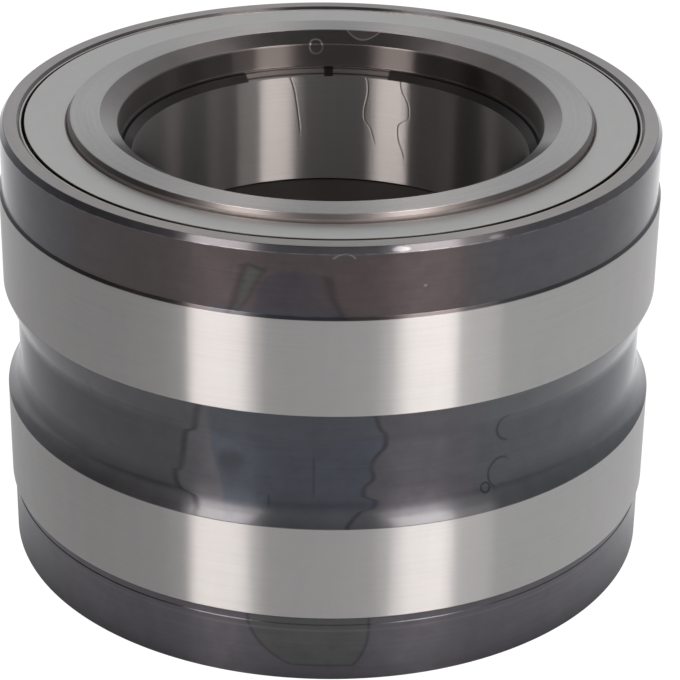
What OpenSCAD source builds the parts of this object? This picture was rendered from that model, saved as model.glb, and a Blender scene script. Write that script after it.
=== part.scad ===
// Wheel bearing unit for a heavy axle: a one-piece outer ring, two inner rings held together
// by a retaining ring, two caged rows of tapered rollers and a cassette seal at each end.
// Millimetres. The axis is Z, and the lower inner ring and the outer ring stand on z = 0.
// Both rows are back to back: the rollers' large ends face outwards, and the roller axes of
// a row meet in one point on the axis, so that the rollers roll without sliding.

/* [Envelope] */
// Diameter of the ground lands that seat in the hub
outer_d = 130; // [126:0.1:134]
// Diameter of the inner rings' ground bore
bore_d = 78; // [75:0.1:81]
// Width over both inner rings
unit_w = 90; // [84:0.1:98]
// How far the outer ring's upper end lies below the upper inner ring's end face
ring_setback = 0.5; // [0.2:0.05:1]
// How far its lower end lies above the lower inner ring's end face
foot_setback = 0; // [0:0.05:0.4]

/* [Outer ring] */
// Height of the turned band below the lower land
lower_band_h = 14.2; // [12:0.1:15]
// Height of the turned band above the upper land
upper_band_h = 13.8; // [12:0.1:15]
// Width of each ground land
land_w = 19; // [17:0.1:20]
// Step from a land down to the turned band beside it
band_step = 0.55; // [0.3:0.05:0.8]
// Height of the chamfer on that step
band_chamfer = 0.6; // [0.2:0.1:1]
// Radius of the outer corners of the outer ring
ring_round = 1; // [0.5:0.1:1.4]
// Depth of the turned waist between the lands
waist_depth = 2.6; // [1.6:0.1:3]
// Height of the waist's straight flank under the upper land
waist_flank_h = 6.5; // [5:0.1:8]
// Radius of the cove that sweeps out to the lower land
waist_sweep_r = 9.4; // [6:0.1:12]
// Plain collar left above the lower land
waist_collar_h = 0.8; // [0.4:0.1:1.5]
// Width of the turned line below the lower land
line_w = 1.9; // [1:0.1:3]
// Depth of that line
line_depth = 0.15; // [0.05:0.05:0.3]
// Share of the section's height that the outer ring takes over the rollers' middles
cup_share = 0.296; // [0.28:0.002:0.31]
// How far the outer raceway runs past the rollers' ends
cup_runout = 1; // [0.6:0.1:1.5]

/* [Rollers] */
// Rollers in each row
rollers_per_row = 20; // [16:1:21]
// Length of a roller
roller_l = 21; // [18.5:0.1:21.4]
// Tilt of the roller axes
roller_tilt = 14; // [12.5:0.25:14.5]
// Chamfer on the rollers' ends
roller_edge = 0.6; // [0.3:0.1:1]
// Diameter of the dimple in a roller's large end
dimple_d = 4; // [2:0.5:5]
// Depth of the dimple
dimple_depth = 0.5; // [0.2:0.1:0.8]

/* [Inner rings] */
// Share of the section's height that an inner ring takes under the rollers' middles
cone_share = 0.22; // [0.21:0.002:0.24]
// Share of a roller's large end that the large rib covers
rib_share = 0.325; // [0.25:0.005:0.36]
// Corner taken off the large rib beside the end face: how much of the face
rib_corner = 0.6; // [0.3:0.1:1]
// The same corner: how far down the rib
rib_corner_h = 0.85; // [0.4:0.05:1.2]
// Relief between the raceway and the large rib
undercut = 0.5; // [0.3:0.1:0.8]
// Step from the bore out to the counterbore in the end
counterbore_step = 2.5; // [2:0.1:3.2]
// Depth of the counterbore
counterbore_depth = 7; // [6:0.1:9]
// Width of the bevelled mouth, from the counterbore out to the end face
mouth_w = 3.7; // [3:0.1:4.4]
// Depth of the bevelled mouth
mouth_depth = 2; // [1:0.1:3]
// Width of the lead-in cone between the counterbore and the bore
lead_in_w = 1.4; // [0.8:0.1:1.8]
// Height of that cone
lead_in_h = 1.2; // [0.6:0.1:2]
// Length of the ground seat in the bore
seat_l = 23.2; // [20:0.1:25]
// Relief of the bore inside the seat
bore_relief = 0.7; // [0.4:0.1:0.9]
// Height of the small rib above the raceway
small_rib_h = 0.8; // [0.4:0.1:1]
// Width of the small rib
small_rib_w = 1.8; // [1.2:0.1:2.2]
// Small chamfers and steps out of sight
edge = 0.4; // [0.2:0.1:0.6]

/* [Retaining ring] */
// Thickness of the spring hoop
hoop_t = 0.5; // [0.4:0.1:0.7]
// Width of the hoop
hoop_w = 10; // [9:0.5:12]
// Height of the two beads that snap into the inner rings
bead_h = 0.4; // [0.3:0.1:0.7]
// Width of a bead
bead_w = 1.4; // [1:0.1:2]
// Chamfer on a bead's flanks
bead_edge = 0.3; // [0.1:0.1:0.5]
// Distance of each bead from the middle of the unit
bead_offset = 3.2; // [2.6:0.1:3.6]
// Gap in the hoop
hoop_gap = 4; // [2:0.5:8]

/* [Cages] */
// Room between a cage and the outer raceway at the rollers' small ends
cup_room = 2.4; // [2:0.1:2.8]
// Thickness of the cage's wall as a share of a roller's diameter
cage_share = 0.2; // [0.16:0.01:0.24]
// Width of the ring at the rollers' large ends
cage_large_ring = 2.6; // [2:0.1:3]
// Width of the ring at the rollers' small ends
cage_small_ring = 2.8; // [2:0.1:3]
// Thickness of the flange inside the rollers' small ends
cage_flange_t = 1.5; // [1:0.1:2]
// Chamfer on the cage's outer edges
cage_edge = 0.7; // [0.4:0.1:1]

/* [Seals] */
// Step from the end of the outer raceway out to the seal seat
seat_step = 0.2; // [0.1:0.05:0.5]
// Bevel at the mouth of the seal seat
seal_mouth = 0.45; // [0.2:0.05:0.8]
// Depth of the seal seat
seal_seat_depth = 11.3; // [10.8:0.1:11.8]
// Sheet thickness of the seal's case
case_t = 0.45; // [0.35:0.05:0.6]
// Depth of the case's rim below the end face of the outer ring
case_inset = 0.25; // [0.2:0.05:0.8]
// Axial length of the case
case_l = 9.6; // [9:0.1:10]
// Bend radius of the pressed sheet, drawn as a bevel
bend = 0.5; // [0.3:0.1:0.8]
// Chamfer on the edges of the pressed sheet
sheet_edge = 0.1; // [0.05:0.05:0.15]
// Sheet thickness of the flinger
flinger_t = 0.6; // [0.4:0.05:0.7]
// Depth of the flinger's rim below the inner ring's end face
flinger_inset = 0.85; // [0.7:0.05:1.2]
// How much lower the flinger's inner edge lies than its rim
flinger_dish = 0.65; // [0.2:0.05:0.9]
// Length of the flinger's sleeve on the large rib
flinger_sleeve = 7.4; // [6.5:0.1:7.6]
// Share of the room between sleeve and case that the lips reach across
lip_share = 0.29; // [0.27:0.01:0.33]
// Bare rim of the case outside the rubber, as a share of its flange's width
rubber_rim = 0.17; // [0.12:0.01:0.22]
// Thickness of the rubber on the case
rubber_t = 0.9; // [0.6:0.1:1.1]
// Thickness of a lip at its root
lip_t = 0.8; // [0.6:0.05:1]
// Thickness of a lip at its tip
lip_tip = 0.3; // [0.2:0.05:0.4]
// Reach of the inner lip above the rubber on the case
lip_rise = 2.4; // [1.6:0.1:2.8]
// Reach of the grease lip below the case
lip_drop = 0.9; // [0.6:0.1:1.2]
// Place of the root of the lip under the flinger, as a share of the flange's width
lip_place = 0.33; // [0.3:0.01:0.36]
// Lean of that lip, as a share of the flange's width
lip_lean = 0.38; // [0.3:0.01:0.42]

/* [Clearances] */
// Rollers to raceways and ribs
roller_gap = 0.15; // [0.1:0.01:0.2]
// Rollers to the walls of their pockets
pocket_gap = 0.2; // [0.15:0.01:0.3]
// Cage flange to the small rib
flange_gap = 0.7; // [0.5:0.1:1.2]
// Cage to the seal's case, along the axis
cage_room = 2.5; // [2:0.1:3]
// Retaining ring to the bore of the inner rings
hoop_inset = 0.3; // [0.2:0.05:0.5]
// Retaining ring to the grooves of the inner rings
hoop_clearance = 0.15; // [0.1:0.05:0.3]
// Seal lips to the flinger
lip_gap = 0.25; // [0.2:0.05:0.4]
// Rim of the flinger to the seal's case
flinger_gap = 0.55; // [0.4:0.05:0.8]

/* [Hidden] */
$fn = 180;
roller_fn = 72;
cut = 1;

// Radii and heights that follow from the sizes above
bore_r = bore_d / 2;
land_r = outer_d / 2;
band_r = land_r - band_step;
waist_r = land_r - waist_depth;
half_w = unit_w / 2;
ring_end = half_w - ring_setback;
foot_end = half_w - foot_setback;
low_land = lower_band_h - foot_end;
high_land = ring_end - upper_band_h;

// Seal case: heights above the middle of the unit
case_top_z = ring_end - case_inset;
case_low_z = case_top_z - case_l;

// A row in its own plane: s runs along the roller axis from the apex, t across it, outwards.
// The rollers fill what the two rings leave of the section's height.
section_h = land_r - bore_r;
cup_mid_r = land_r - cup_share * section_h;
cone_mid_r = bore_r + cone_share * section_h;
pitch_r = (cup_mid_r + cone_mid_r) / 2;
roller_r = (cup_mid_r - cone_mid_r) / 2 / cos(roller_tilt) - roller_gap;
mid_s = pitch_r / sin(roller_tilt);
small_s = mid_s - roller_l / 2;
large_s = mid_s + roller_l / 2;
taper = roller_r / mid_s;
function race_t(s) = s * taper + roller_gap * sqrt(1 + taper * taper);

// Cage: it hangs under the outer raceway, and the row sits where the cage clears the seal
cage_outer = race_t(small_s) - cup_room;
cage_inner = cage_outer - cage_share * 2 * roller_r;
cage_low_s = small_s - pocket_gap - cage_small_ring;
cage_high_s = large_s + pocket_gap + cage_large_ring;
cage_reach = (cage_high_s - mid_s) * cos(roller_tilt) - cage_inner * sin(roller_tilt);
row_offset = case_low_z - cage_room - cage_reach;
apex_z = row_offset - mid_s * cos(roller_tilt);
function row_point(s, t) = [
    s * sin(roller_tilt) + t * cos(roller_tilt),
    apex_z + s * cos(roller_tilt) - t * sin(roller_tilt)
];

// Where the raceways start and end
cup_start = row_point(small_s - cup_runout, race_t(small_s - cup_runout));
cup_end = row_point(large_s + cup_runout, race_t(large_s + cup_runout));
cone_start = row_point(small_s - roller_gap, -race_t(small_s - roller_gap));
rib_s = large_s + roller_gap;
rib_r = row_point(rib_s, -race_t(rib_s))[0] + rib_share * 2 * large_s * taper;
rib_t = (rib_r - rib_s * sin(roller_tilt)) / cos(roller_tilt);

// Inner ring: small rib, retaining ring's groove and bore
small_rib_r = cone_start[0] + small_rib_h;
nose_r = cone_start[0] - edge;
relief_r = bore_r + bore_relief;
hoop_in_r = bore_r + hoop_inset;
hoop_out_r = hoop_in_r + hoop_t;
hoop_room_r = hoop_out_r + hoop_clearance;
hoop_room_h = hoop_w / 2 + hoop_clearance;
bead_groove_r = hoop_room_r + bead_h;
counterbore_r = bore_r + counterbore_step;
ledge_z = half_w - counterbore_depth;
seat_top_z = ledge_z - lead_in_h;
seat_low_z = seat_top_z - seat_l;

// Seal: radii from the raceway's end and from the large rib
seat_r = cup_end[0] + seat_step;
case_in_r = seat_r - case_t;
sleeve_r = rib_r + flinger_t;
case_flange_r = sleeve_r + lip_share * (case_in_r - sleeve_r);
flinger_r = case_in_r - flinger_gap;
flinger_rim_z = half_w - flinger_inset;
flinger_low_z = flinger_rim_z - flinger_dish;
sleeve_low_z = flinger_low_z - flinger_sleeve;

two_digits = function(i) str(i < 10 ? "0" : "", i);
function roller_name(row, i) = str("roller_", row, "_", two_digits(i));

// Colours as the photo shows them
ground_steel = [0.56, 0.55, 0.54];
sheet_steel = [0.66, 0.66, 0.65];
polished_steel = [0.78, 0.78, 0.78];
cage_plastic = [0.16, 0.15, 0.14];
black_rubber = [0.07, 0.07, 0.07];

// Puts a piece drawn for the upper side, from the middle of the unit, on either side
module on_side(side) {
    translate([0, 0, half_w]) mirror([0, 0, side == "upper" ? 0 : 1]) children();
}

// What a rounded outer corner loses: corner at [r, z], with the metal inside and below it
module corner_loss(r, z, round) {
    translate([r - round, z - round]) difference() {
        square(round + cut);
        circle(round);
    }
}

// Section of the waist: a straight flank above, a cove that sweeps out below
module waist_section() {
    top_z = high_land - land_w;
    low_z = low_land + land_w + waist_collar_h;
    sweep_drop = sqrt(waist_sweep_r * waist_sweep_r - pow(waist_sweep_r - waist_depth, 2));
    sweep_z = low_z + sweep_drop;
    shy = 0.03;
    translate([waist_r + waist_sweep_r, sweep_z]) circle(waist_sweep_r);
    polygon([
        [waist_r + shy, sweep_z],
        [waist_r + shy, top_z - waist_flank_h],
        [land_r, top_z],
        [land_r + cut, top_z],
        [land_r + cut, sweep_z]
    ]);
}

// One-piece outer ring: both raceways inside, two ground lands and the waist outside
module outer_ring() {
    web_r = cup_start[0] - edge;
    web_h = cup_start[1] - edge;
    seat_end = ring_end - seal_seat_depth;
    color(ground_steel) translate([0, 0, half_w]) rotate_extrude() difference() {
        polygon([
            [seat_r + seal_mouth, -foot_end],
            [band_r, -foot_end],
            [band_r, low_land - line_w - line_depth],
            [band_r - line_depth, low_land - line_w],
            [band_r - line_depth, low_land - band_chamfer],
            [land_r, low_land],
            [land_r, high_land],
            [band_r, high_land + band_chamfer],
            [band_r, ring_end],
            [seat_r + seal_mouth, ring_end],
            [seat_r, ring_end - seal_mouth],
            [seat_r, seat_end],
            [cup_end[0], seat_end - edge],
            cup_end,
            cup_start,
            [web_r, web_h],
            [web_r, -web_h],
            [cup_start[0], -cup_start[1]],
            [cup_end[0], -cup_end[1]],
            [cup_end[0], edge - seat_end],
            [seat_r, -seat_end],
            [seat_r, seal_mouth - foot_end]
        ]);
        waist_section();
        corner_loss(band_r, ring_end, ring_round);
        mirror([0, 1]) corner_loss(band_r, foot_end, ring_round);
    }
}

// Inner ring: raceway between a small and a large rib, seat, counterbore and bevelled mouth
module inner_ring(side) {
    groove_low = bead_offset - bead_w / 2 - hoop_clearance;
    groove_high = bead_offset + bead_w / 2 + hoop_clearance;
    small_rib_z = cone_start[1] - small_rib_w;
    groove_t = -race_t(large_s) - undercut;
    color(ground_steel) on_side(side) rotate_extrude() polygon([
        [hoop_room_r, 0],
        [nose_r - edge, 0],
        [nose_r, edge],
        [nose_r, small_rib_z - small_rib_h],
        [small_rib_r, small_rib_z],
        [small_rib_r, cone_start[1] - edge],
        [cone_start[0], cone_start[1]],
        row_point(large_s - undercut, -race_t(large_s - undercut)),
        row_point(large_s - undercut, groove_t),
        row_point(rib_s, groove_t),
        row_point(rib_s, rib_t),
        [rib_r, half_w - rib_corner_h],
        [rib_r - rib_corner, half_w],
        [counterbore_r + mouth_w, half_w],
        [counterbore_r, half_w - mouth_depth],
        [counterbore_r, ledge_z + edge],
        [counterbore_r - edge, ledge_z],
        [bore_r + lead_in_w, ledge_z],
        [bore_r, seat_top_z],
        [bore_r, seat_low_z],
        [relief_r, seat_low_z - bore_relief],
        [relief_r, hoop_room_h + hoop_room_r - relief_r],
        [hoop_room_r, hoop_room_h],
        [hoop_room_r, groove_high + bead_h],
        [bead_groove_r, groove_high],
        [bead_groove_r, groove_low],
        [hoop_room_r, groove_low - bead_h]
    ]);
}

// Spring hoop with two beads, split once, that clips the inner rings together
module retaining_ring() {
    foot = bead_w / 2;
    top = foot - bead_edge;
    color(polished_steel) translate([0, 0, half_w]) difference() {
        rotate_extrude() polygon(concat(
            [[hoop_in_r, -hoop_w / 2], [hoop_out_r, -hoop_w / 2]],
            [for (at = [-bead_offset, bead_offset], p = [[-foot, 0], [-top, 1], [top, 1], [foot, 0]])
                [hoop_out_r + p[1] * bead_h, at + p[0]]],
            [[hoop_out_r, hoop_w / 2], [hoop_in_r, hoop_w / 2]]
        ));
        translate([0, -hoop_gap / 2, -hoop_w]) cube([bore_r + hoop_w, hoop_gap, 2 * hoop_w]);
    }
}

// Places a piece drawn along Z on the axis of roller i
module on_roller_axis(i) {
    turn = (i - 1) * 360 / rollers_per_row;
    rotate([0, 0, turn]) translate([0, 0, apex_z]) rotate([0, roller_tilt, 0]) children();
}

// Tapered roller with chamfered ends and a dimple in the large end
module roller(side, i) {
    color(polished_steel) on_side(side) on_roller_axis(i) rotate_extrude($fn = roller_fn) polygon([
        [0, small_s],
        [small_s * taper - roller_edge, small_s],
        [(small_s + roller_edge) * taper, small_s + roller_edge],
        [(large_s - roller_edge) * taper, large_s - roller_edge],
        [large_s * taper - roller_edge, large_s],
        [dimple_d / 2, large_s],
        [dimple_d / 2, large_s - dimple_depth],
        [0, large_s - dimple_depth]
    ]);
}

// Window cage: a conical wall outside the pitch cone, with a flange inside the small ends
module cage(side) {
    flange_t = (small_rib_r + flange_gap - cage_low_s * sin(roller_tilt)) / cos(roller_tilt);
    color(cage_plastic) on_side(side) difference() {
        rotate_extrude() polygon([
            row_point(cage_low_s, flange_t),
            row_point(cage_low_s, cage_outer - cage_edge),
            row_point(cage_low_s + cage_edge, cage_outer),
            row_point(cage_high_s - cage_edge, cage_outer),
            row_point(cage_high_s, cage_outer - cage_edge),
            row_point(cage_high_s, cage_inner),
            row_point(cage_low_s + cage_flange_t, cage_inner),
            row_point(cage_low_s + cage_flange_t, flange_t)
        ]);
        for (i = [1:rollers_per_row]) on_roller_axis(i) pocket();
    }
}

// Room for one roller in the cage
module pocket() {
    low_s = small_s - pocket_gap;
    high_s = large_s + pocket_gap;
    translate([0, 0, low_s]) cylinder(
        h = high_s - low_s,
        r1 = low_s * taper + pocket_gap,
        r2 = high_s * taper + pocket_gap,
        $fn = roller_fn
    );
}

// Drawn steel case of the seal: a sleeve pressed into the seat and an inward flange
module seal_case(side) {
    color(sheet_steel) on_side(side) rotate_extrude() polygon([
        [case_flange_r, case_low_z],
        [seat_r - bend, case_low_z],
        [seat_r, case_low_z + bend],
        [seat_r, case_top_z - sheet_edge],
        [seat_r - sheet_edge, case_top_z],
        [case_in_r + sheet_edge, case_top_z],
        [case_in_r, case_top_z - sheet_edge],
        [case_in_r, case_low_z + case_t],
        [case_flange_r, case_low_z + case_t]
    ]);
}

// Rubber on the case: two lips towards the flinger's sleeve and one towards its flange
module seal_lip(side) {
    base_z = case_low_z + case_t;
    top_z = base_z + rubber_t;
    tip_r = sleeve_r + lip_gap;
    hub_r = (tip_r + case_flange_r) / 2;
    flange_w = case_in_r - case_flange_r;
    axial_r = case_flange_r + flange_w * lip_place;
    axial_tip_r = axial_r + flange_w * lip_lean;
    pad_r = case_in_r - flange_w * rubber_rim;
    under_z = flinger_low_z - flinger_t - lip_gap;
    color(black_rubber) on_side(side) rotate_extrude() polygon([
        [case_flange_r, case_low_z],
        [case_flange_r, base_z],
        [pad_r, base_z],
        [pad_r - edge, top_z],
        [axial_r + lip_t, top_z],
        [axial_tip_r + lip_tip, under_z],
        [axial_tip_r, under_z],
        [axial_r, top_z],
        [hub_r + lip_t, top_z],
        [tip_r + lip_tip, top_z + lip_rise],
        [tip_r, top_z + lip_rise - lip_tip],
        [hub_r, base_z],
        [tip_r, case_low_z - lip_drop + lip_tip],
        [tip_r + lip_tip, case_low_z - lip_drop],
        [(hub_r + case_flange_r) / 2, case_low_z]
    ]);
}

// Pressed flinger: a sleeve on the large rib and a dished flange that covers the case
module flinger(side) {
    color(sheet_steel) on_side(side) rotate_extrude() polygon([
        [rib_r, sleeve_low_z],
        [sleeve_r, sleeve_low_z],
        [sleeve_r, flinger_low_z - flinger_t],
        [flinger_r, flinger_rim_z - flinger_t],
        [flinger_r, flinger_rim_z - sheet_edge],
        [flinger_r - sheet_edge, flinger_rim_z],
        [rib_r + bend, flinger_low_z],
        [rib_r, flinger_low_z - bend]
    ]);
}

outer_ring();
inner_ring("upper");  // inner_ring_upper
inner_ring("lower");  // inner_ring_lower
retaining_ring();
cage("upper");  // cage_upper
cage("lower");  // cage_lower
seal_case("upper");  // seal_case_upper
seal_case("lower");  // seal_case_lower
seal_lip("upper");  // seal_lip_upper
seal_lip("lower");  // seal_lip_lower
flinger("upper");  // flinger_upper
flinger("lower");  // flinger_lower
for (side = ["upper", "lower"], i = [1:rollers_per_row])
    roller(side, i);
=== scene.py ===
# %% [markdown]
# A sealed wheel bearing unit, finished for a studio picture. The packed model already holds every
# ring, roller, cage and seal at its real size. This lesson loads it as a fixed frame, looks at it as
# the photographer did, turns the visible rings again with broken edges, and then spends its time on
# the metal: ground lands, oiled dark bands, tide marks and grinding lines.

# %% Load the frame
import math

import bpy
import numpy as np
from mathutils import Matrix, Vector


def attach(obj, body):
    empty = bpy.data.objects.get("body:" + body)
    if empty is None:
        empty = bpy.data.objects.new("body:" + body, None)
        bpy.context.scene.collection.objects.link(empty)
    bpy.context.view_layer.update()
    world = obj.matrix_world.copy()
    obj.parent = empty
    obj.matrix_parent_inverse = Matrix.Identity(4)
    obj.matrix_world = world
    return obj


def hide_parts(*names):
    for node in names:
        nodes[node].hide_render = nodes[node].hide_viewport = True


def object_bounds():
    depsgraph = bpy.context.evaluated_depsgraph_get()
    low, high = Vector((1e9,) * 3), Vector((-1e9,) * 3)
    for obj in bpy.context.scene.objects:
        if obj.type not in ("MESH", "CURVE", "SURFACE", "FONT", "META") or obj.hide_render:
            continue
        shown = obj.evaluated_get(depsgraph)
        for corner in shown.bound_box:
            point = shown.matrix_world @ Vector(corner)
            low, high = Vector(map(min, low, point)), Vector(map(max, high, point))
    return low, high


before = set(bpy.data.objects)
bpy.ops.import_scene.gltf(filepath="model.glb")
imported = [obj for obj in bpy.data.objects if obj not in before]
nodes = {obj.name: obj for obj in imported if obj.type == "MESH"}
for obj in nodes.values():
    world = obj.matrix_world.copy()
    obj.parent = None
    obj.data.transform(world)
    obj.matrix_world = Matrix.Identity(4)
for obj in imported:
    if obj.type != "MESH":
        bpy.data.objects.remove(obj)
CAD_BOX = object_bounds()

# %% [markdown]
# The camera is a real lens at a real distance. A long lens, about 136 mm on a full-frame sensor,
# stands 0.54 m away and looks down at 27 degrees, which keeps the ellipses of the rings calm.
# Its place follows from the tilt and the distance, so nobody has to aim it by hand.

# %% Camera
MM = 0.001
TILT = math.radians(26.722)
ROLL = math.radians(0.803)
DISTANCE = 535.5 * MM
SIDE_STEP = 2.37 * MM
LIFT = 23.08 * MM
AIM_HEIGHT = 13.55 * MM
FOCAL_PX = 2567.7
PICTURE_PX = 680
SENSOR = 36.0
NEAR_CLIP = 10 * MM

back = Vector((0, -math.cos(TILT), math.sin(TILT)))
right = Vector((1, 0, 0))
up = back.cross(right)
place = back * DISTANCE + right * SIDE_STEP + up * LIFT + Vector((0, 0, AIM_HEIGHT))
rolled_right = right * math.cos(ROLL) + up * math.sin(ROLL)
rolled_up = up * math.cos(ROLL) - right * math.sin(ROLL)

camera_data = bpy.data.cameras.new("camera")
camera_data.sensor_width = SENSOR
camera_data.lens = FOCAL_PX / PICTURE_PX * SENSOR
camera_data.clip_start = NEAR_CLIP
camera = bpy.data.objects.new("camera", camera_data)
camera.matrix_world = Matrix.Translation(place) @ Matrix(
    (rolled_right, rolled_up, back)
).transposed().to_4x4()
bpy.context.scene.collection.objects.link(camera)
bpy.context.scene.camera = camera
print("lens %.1f mm, camera at" % camera_data.lens, [round(v, 3) for v in place])

# %% [markdown]
# Ground steel only looks ground when it has something to mirror. Two tall soft boxes hang in front,
# one on each side of the camera and above it, and every cylinder shows them as a pair of bright
# strips. Each stands on a dimmer foot that is shifted towards the middle, and two small boxes hang
# behind the bearing.

# %% Lights
WARM_WHITE = (1.0, 0.93, 0.9)
REACH = 0.9
LEAN = 16.0
LEFT_LAMP, LEFT_FOOT = 6.8, 3.1
RIGHT_LAMP, RIGHT_FOOT, SPILL = 7.9, 1.8, 1.6
BACK_LAMP = 3.0


def hung_box(name, azimuths, elevations, radiance, lean=0.0):
    """A soft box that faces the axis, between two azimuths from the front and two elevations.

    All are in degrees as seen from the bearing, and the azimuths are those of its foot. Its top
    leans outwards by the lean. Its power is its radiance times its area times pi.
    """
    first, last = sorted(azimuths)
    bottom, top = (REACH * math.tan(math.radians(e)) for e in elevations)
    width = 2 * REACH * math.tan(math.radians((last - first) / 2))
    lamp = bpy.data.lights.new(name, "AREA")
    lamp.shape = "RECTANGLE"
    lamp.size, lamp.size_y = width, top - bottom
    lamp.energy = radiance * width * (top - bottom) * math.pi
    lamp.color = WARM_WHITE
    turn = math.radians((first + last) / 2)
    towards = Vector((math.sin(turn), -math.cos(turn), 0))
    across = Vector((math.cos(turn), math.sin(turn), 0))
    tilt = math.copysign(math.radians(lean), turn)
    upwards = Vector((0, 0, 1)) * math.cos(tilt) + across * math.sin(tilt)
    foot = towards * REACH + Vector((0, 0, bottom))
    holder = bpy.data.objects.new(name, lamp)
    holder.matrix_world = Matrix.Translation(foot + upwards * (top - bottom) / 2) @ Matrix(
        (upwards.cross(towards), upwards, towards)
    ).transposed().to_4x4()
    bpy.context.scene.collection.objects.link(holder)


hung_box("strip_left", (-45.6, -22.9), (29, 60), LEFT_LAMP, LEAN)
hung_box("strip_left_foot", (-41.7, -19.1), (18, 29), LEFT_FOOT, LEAN)
hung_box("strip_right", (20.7, 42.9), (31, 60), RIGHT_LAMP, LEAN)
hung_box("strip_right_foot", (14.8, 38.0), (18, 31), RIGHT_FOOT, LEAN)
hung_box("strip_right_spill", (42.9, 60), (31, 60), SPILL, LEAN)
hung_box("back_left", (-136, -112), (56, 68), BACK_LAMP)
hung_box("back_right", (112, 136), (56, 68), BACK_LAMP)

# %% [markdown]
# Material recipes read best as sums. This small class wraps one output of a node, so that
# `1 - mask` or `base * 0.4 + dirt` writes the Math nodes itself. Colours and vectors go through
# Mix and Vector Math nodes, since a Math node would turn them grey.

# %% Wires: arithmetic that builds nodes
class Wire:
    """One output in a node tree. Arithmetic on wires adds Math nodes to that tree."""

    def __init__(self, tree, socket):
        self.tree, self.socket = tree, socket

    def math(self, operation, *values):
        """A Math node of this operation on the values, in their order."""
        node = self.tree.nodes.new("ShaderNodeMath")
        node.operation = operation
        for entry, value in zip(node.inputs, values):
            plug(self.tree, entry, value)
        return Wire(self.tree, node.outputs[0])

    def __add__(self, other):
        return self.math("ADD", self, other)

    __radd__ = __add__

    def __sub__(self, other):
        return self.math("SUBTRACT", self, other)

    def __rsub__(self, other):
        return self.math("SUBTRACT", other, self)

    def __mul__(self, other):
        return self.math("MULTIPLY", self, other)

    __rmul__ = __mul__

    def __truediv__(self, other):
        return self.math("DIVIDE", self, other)

    def __pow__(self, power):
        return self.math("POWER", self, power)

    def __abs__(self):
        return self.math("ABSOLUTE", self)

    def __or__(self, other):
        """The larger of the two: the union of two masks."""
        return self.math("MAXIMUM", self, other)


def plug(tree, entry, value):
    """Links a wire to a socket, or writes a number or colour into it."""
    if isinstance(value, Wire):
        tree.links.new(value.socket, entry)
    elif entry.type == "RGBA":
        entry.default_value = (*value, 1.0)
    else:
        entry.default_value = value


print("operators on wires: + - * / ** abs |")

# %% [markdown]
# Every other node comes from one method: its type, its settings, then what goes into its sockets.
# The few shapes that masks are drawn with are written once on top of it: a smooth ramp, a band with
# soft edges and a thin line. The room's light uses them as well as the materials do.

# %% Recipes: the nodes and the masks
def shape_curve(node, points):
    """Draws a Float Curve node's curve through sorted points between 0 and 1."""
    curve = node.mapping.curves[0]
    for _ in points[2:]:
        curve.points.new(0.5, 0.5)
    for spot, point in zip(curve.points, points):
        spot.location = point
    node.mapping.extend = "HORIZONTAL"
    node.mapping.update()


class Recipe:
    """An emptied node tree, and the nodes that recipes are written with."""

    def __init__(self, tree):
        self.tree = tree
        self.tree.nodes.clear()

    def node(self, kind, settings=None, out=0, places=(), points=None, **sockets):
        """Adds any node: first its settings or curve, then the values or links of its sockets.

        A socket goes by its name, with _ for a space, or by its place where several share a name.
        """
        node = self.tree.nodes.new(kind)
        for key, value in (settings or {}).items():
            setattr(node, key, value)
        if points:
            shape_curve(node, points)
        for spot, value in places:
            plug(self.tree, node.inputs[spot], value)
        for key, value in sockets.items():
            plug(self.tree, node.inputs[key.replace("_", " ")], value)
        return Wire(self.tree, node.outputs[out]) if node.outputs else node

    def ramp(self, value, low, high, start=0.0, end=1.0):
        """Goes smoothly from start at low to end at high, and stays there."""
        return self.node(
            "ShaderNodeMapRange", {"interpolation_type": "SMOOTHSTEP"}, Value=value,
            From_Min=low, From_Max=high, To_Min=start, To_Max=end,
        )

    def fall(self, value, low, high):
        """Goes smoothly from 1 at low to 0 at high."""
        return self.ramp(value, low, high, 1.0, 0.0)

    def band(self, value, low, high, soft):
        """1 between low and high, with soft edges of that width, and 0 elsewhere."""
        rise = self.ramp(value, low - soft / 2, low + soft / 2)
        return rise * self.fall(value, high - soft / 2, high + soft / 2)

    def line(self, distance, width):
        """1 where a signed distance is 0, fading to 0 at the width on either side."""
        return self.fall(abs(distance), 0.0, width)

    def mix(self, factor, a, b, blend="MIX"):
        """Colour a turned into colour b by the factor."""
        settings = {"data_type": "RGBA", "blend_type": blend}
        return self.node("ShaderNodeMix", settings, out=2, places=[(0, factor), (6, a), (7, b)])

    def shade(self, value, tint=(1.0, 1.0, 1.0)):
        """A colour that is the value times a tint."""
        red, green, blue = (value * share for share in tint)
        return self.node("ShaderNodeCombineColor", Red=red, Green=green, Blue=blue)

    def report(self, what):
        """Prints how many nodes the recipe has by now."""
        print("%s: %d nodes so far" % (what, len(self.tree.nodes)))


print("recipe helpers:", [n for n in vars(Recipe) if not n.startswith("_")])

# %% [markdown]
# A finish is a material whose coordinates are already worked out in millimetres: height, distance
# from the axis, and the turn around it in degrees, with 0 at the front. Almost everything on a
# turned part follows one of these three, so masks can use the drawing's own numbers. The radius
# and the height that the drawing starts from are read off the loaded model.

# %% Finishes: a material measured in millimetres
LAND_R = round(CAD_BOX[1][0] / MM, 2)
HEIGHT = round(CAD_BOX[1][2] / MM, 2)
WAIST_DEPTH = 2.6
WAIST_R = LAND_R - WAIST_DEPTH


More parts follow.
